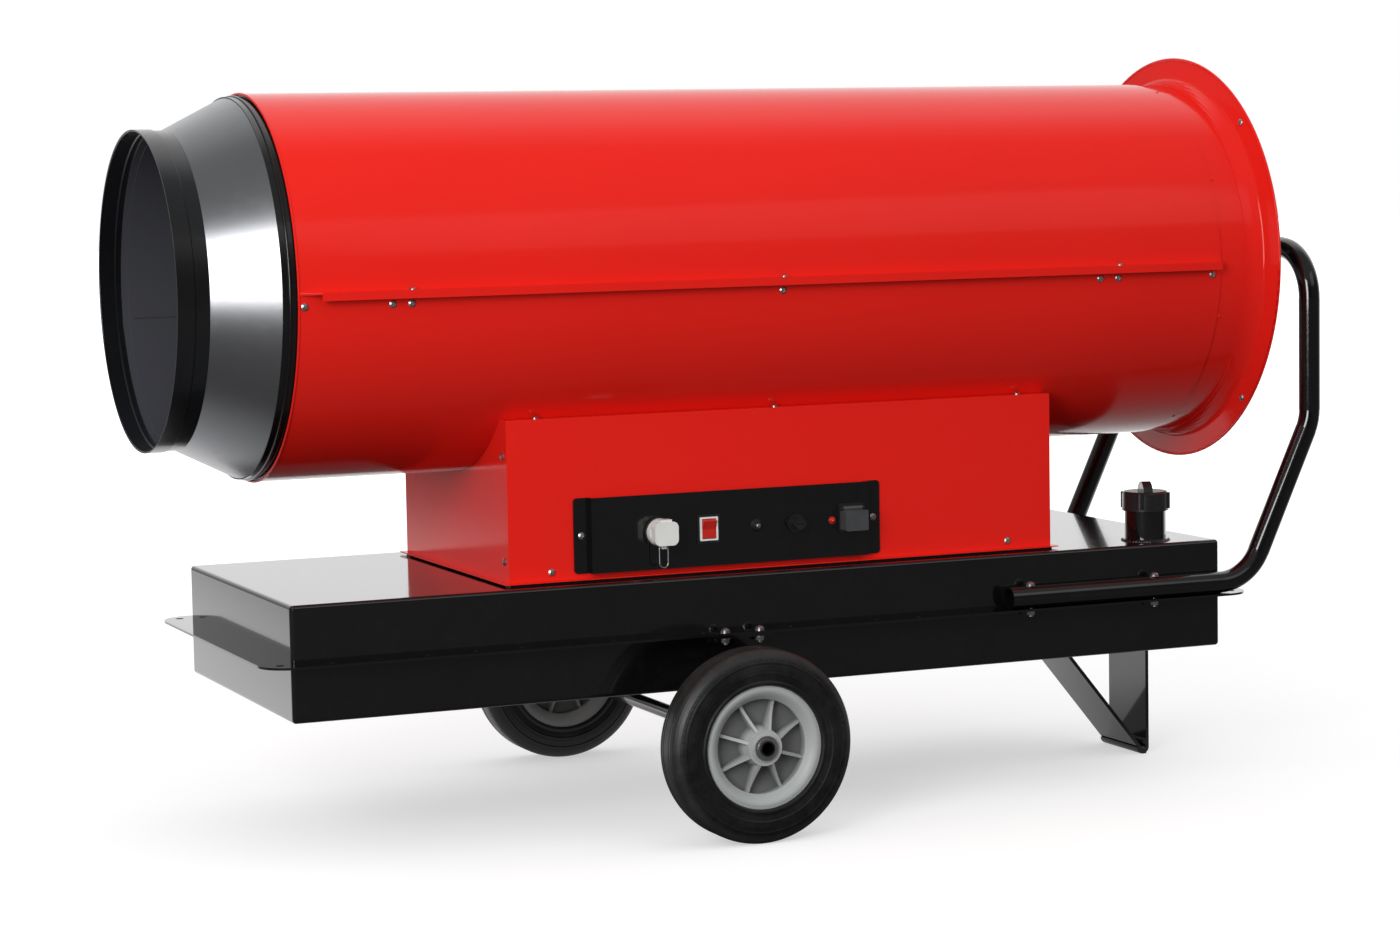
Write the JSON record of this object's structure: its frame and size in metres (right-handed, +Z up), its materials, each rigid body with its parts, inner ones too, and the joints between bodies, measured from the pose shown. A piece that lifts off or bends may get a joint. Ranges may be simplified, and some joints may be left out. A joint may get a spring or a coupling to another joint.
{
  "type": "forced air heater",
  "caption": "Mobile oil-fired forced air heater: round fan and burner casing with cone outlet and flared inlet on a flat fuel tank with wheels, leg and tube handle.",
  "frame": {"origin": "centre of the overall box on the ground under the wheels and the leg", "axes": "+X along the casing from the warm air outlet to the fan inlet, +Z up, the control panel faces -Y"},
  "size_m": [1.609, 0.7796, 1.0015],
  "materials": {
    "red_paint": "gloss",
    "black_paint": "gloss",
    "grey_paint": "satin",
    "zinc_steel": "satin",
    "rim_plastic": "matt",
    "tyre_rubber": "matt",
    "seal_rubber": "matt",
    "black_plastic": "matt",
    "white_plastic": "gloss",
    "red_plastic": "gloss",
    "bare_steel": "satin",
    "cast_aluminium": "cast",
    "brass_parts": "satin",
    "grey_plastic": "matt"
  },
  "bodies": {
    "heater": {"tank_lower_tray": "black_paint", "tank_upper_tray": "black_paint", "filler_neck": "black_paint", "filler_strainer": "brass_parts", "drain_plug": "zinc_steel", "support_leg": "black_paint", "axle_brackets": "black_paint", "axle": "black_paint", "bracket_bolts": "zinc_steel", "axle_end_rings": "zinc_steel", "handle_frame": "black_paint", "handle_bolts": "zinc_steel", "housing_front_panel": "red_paint", "housing_rear_panel": "red_paint", "housing_outlet_wall": "red_paint", "housing_inlet_wall": "red_paint", "housing_screws": "zinc_steel", "control_panel": "black_paint", "thermostat_socket": "black_plastic", "switch_bezel": "black_plastic", "switch_body": "white_plastic", "reset_bush": "black_plastic", "fuse_holder": "black_plastic", "indicator_lamp": "red_plastic", "power_inlet": "black_plastic", "upper_casing": "red_paint", "lower_casing": "red_paint", "casing_screws": "zinc_steel", "outlet_collar": "black_paint", "outlet_cone": "grey_paint", "outlet_spigot": "black_paint", "inlet_ring": "red_paint", "inlet_guard": "black_paint", "fan_motor": "cast_aluminium", "motor_bracket": "bare_steel", "combustion_chamber": "bare_steel", "chamber_brackets": "bare_steel", "flame_deflector": "bare_steel", "burner_tube": "bare_steel", "swirl_plate": "bare_steel", "nozzle_line": "brass_parts", "fuel_pump": "cast_aluminium", "fuel_pipes": "brass_parts", "control_box": "grey_plastic"},
    "left_wheel": {"left_rim": "rim_plastic", "left_tyre": "tyre_rubber", "left_bushes": "rim_plastic"},
    "right_wheel": {"right_rim": "rim_plastic", "right_tyre": "tyre_rubber", "right_bushes": "rim_plastic"},
    "fan": {"motor_shaft": "zinc_steel", "fan_impeller": "cast_aluminium"},
    "plug": {"thermostat_plug": "white_plastic"},
    "bail": {"plug_bail": "zinc_steel"},
    "rocker": {"switch_rocker": "red_plastic"},
    "reset": {"reset_button": "zinc_steel"},
    "fuse_key": {"fuse_cap": "black_plastic"},
    "inlet_lid": {"inlet_cover": "black_plastic"},
    "cap_rise": {"cap_seal": "seal_rubber"},
    "cap": {"filler_cap": "black_plastic"}
  },
  "joints": [
    {"name": "left_wheel_spin", "type": "hinge", "parent": "heater", "child": "left_wheel", "pos_m": [-0.1085, -0.353, 0.125], "axis": [0, 1, 0], "continuous": true},
    {"name": "right_wheel_spin", "type": "hinge", "parent": "heater", "child": "right_wheel", "pos_m": [-0.1085, 0.353, 0.125], "axis": [0, 1, 0], "continuous": true},
    {"name": "fan_spin", "type": "hinge", "parent": "heater", "child": "fan", "pos_m": [0.5855, 0, 0.714], "axis": [1, 0, 0], "continuous": true},
    {"name": "plug_pull", "type": "slide", "parent": "heater", "child": "plug", "axis": [0, -1, 0], "range_m": [0, 0.016]},
    {"name": "bail_swing", "type": "hinge", "parent": "plug", "child": "bail", "pos_m": [-0.182, -0.2353, 0.3715], "axis": [-1, 0, 0], "range_deg": [-20, 90]},
    {"name": "switch_tip", "type": "hinge", "parent": "heater", "child": "rocker", "pos_m": [-0.1115, -0.217, 0.3895], "axis": [1, 0, 0], "range_deg": [-18, 0]},
    {"name": "reset_press", "type": "slide", "parent": "heater", "child": "reset", "axis": [0, 1, 0], "range_m": [0, 0.0025], "stiffness_N_per_m": 300},
    {"name": "fuse_turn", "type": "hinge", "parent": "heater", "child": "fuse_key", "pos_m": [0.0135, -0.2273, 0.3895], "axis": [0, -1, 0], "range_deg": [0, 90]},
    {"name": "lid_lift", "type": "hinge", "parent": "heater", "child": "inlet_lid", "pos_m": [0.0945, -0.2243, 0.405], "axis": [-1, 0, 0], "range_deg": [0, 105], "stiffness_Nm_per_rad": 0.02, "springref_deg": -28.65},
    {"name": "cap_lift", "type": "slide", "parent": "heater", "child": "cap_rise", "axis": [0, 0, 1], "range_m": [0, 0.0081]},
    {"name": "cap_turn", "type": "hinge", "parent": "cap_rise", "child": "cap", "pos_m": [0.5645, -0.188, 0.39], "axis": [0, 0, 1], "range_deg": [0, 720]}
  ],
  "couplings": [
    {"joint": "cap_lift", "follows": "cap_turn", "m_per_rad": 0.00063662}
  ]
}
